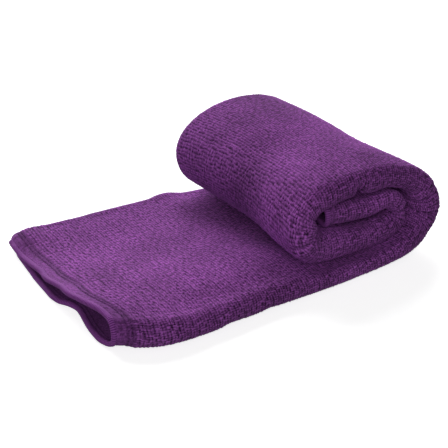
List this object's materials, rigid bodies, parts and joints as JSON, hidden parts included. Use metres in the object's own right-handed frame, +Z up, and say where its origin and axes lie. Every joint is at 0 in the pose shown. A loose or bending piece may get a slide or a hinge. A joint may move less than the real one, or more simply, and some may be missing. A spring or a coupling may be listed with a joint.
{
  "type": "quick dry towel",
  "caption": "Microfibre terry towel folded once along its length and loosely rolled from one end, with its other end lying flat; overlocked edges.",
  "frame": {"origin": "middle of the footprint, at the level of the surface the towel lies on", "axes": "+X from the loose tail end towards the roll, +Y from the fold line to the two long edges, +Z up"},
  "size_m": [0.3082, 0.205, 0.0895],
  "materials": {
    "microfibre_terry": "matt ribbed terry pile with a soft sheen",
    "overlock_thread": "smooth textured looper thread, slightly brighter than the terry",
    "needle_thread": "fine spun sewing thread"
  },
  "bodies": {
    "root": {"terry_sheet": "microfibre_terry", "tail_end_overlock": "overlock_thread", "tail_end_needle_thread": "needle_thread", "core_end_overlock": "overlock_thread", "core_end_needle_thread": "needle_thread", "upper_long_edge_overlock": "overlock_thread", "upper_long_edge_needle_thread": "needle_thread", "lower_long_edge_overlock": "overlock_thread", "lower_long_edge_needle_thread": "needle_thread"}
  },
  "joints": []
}
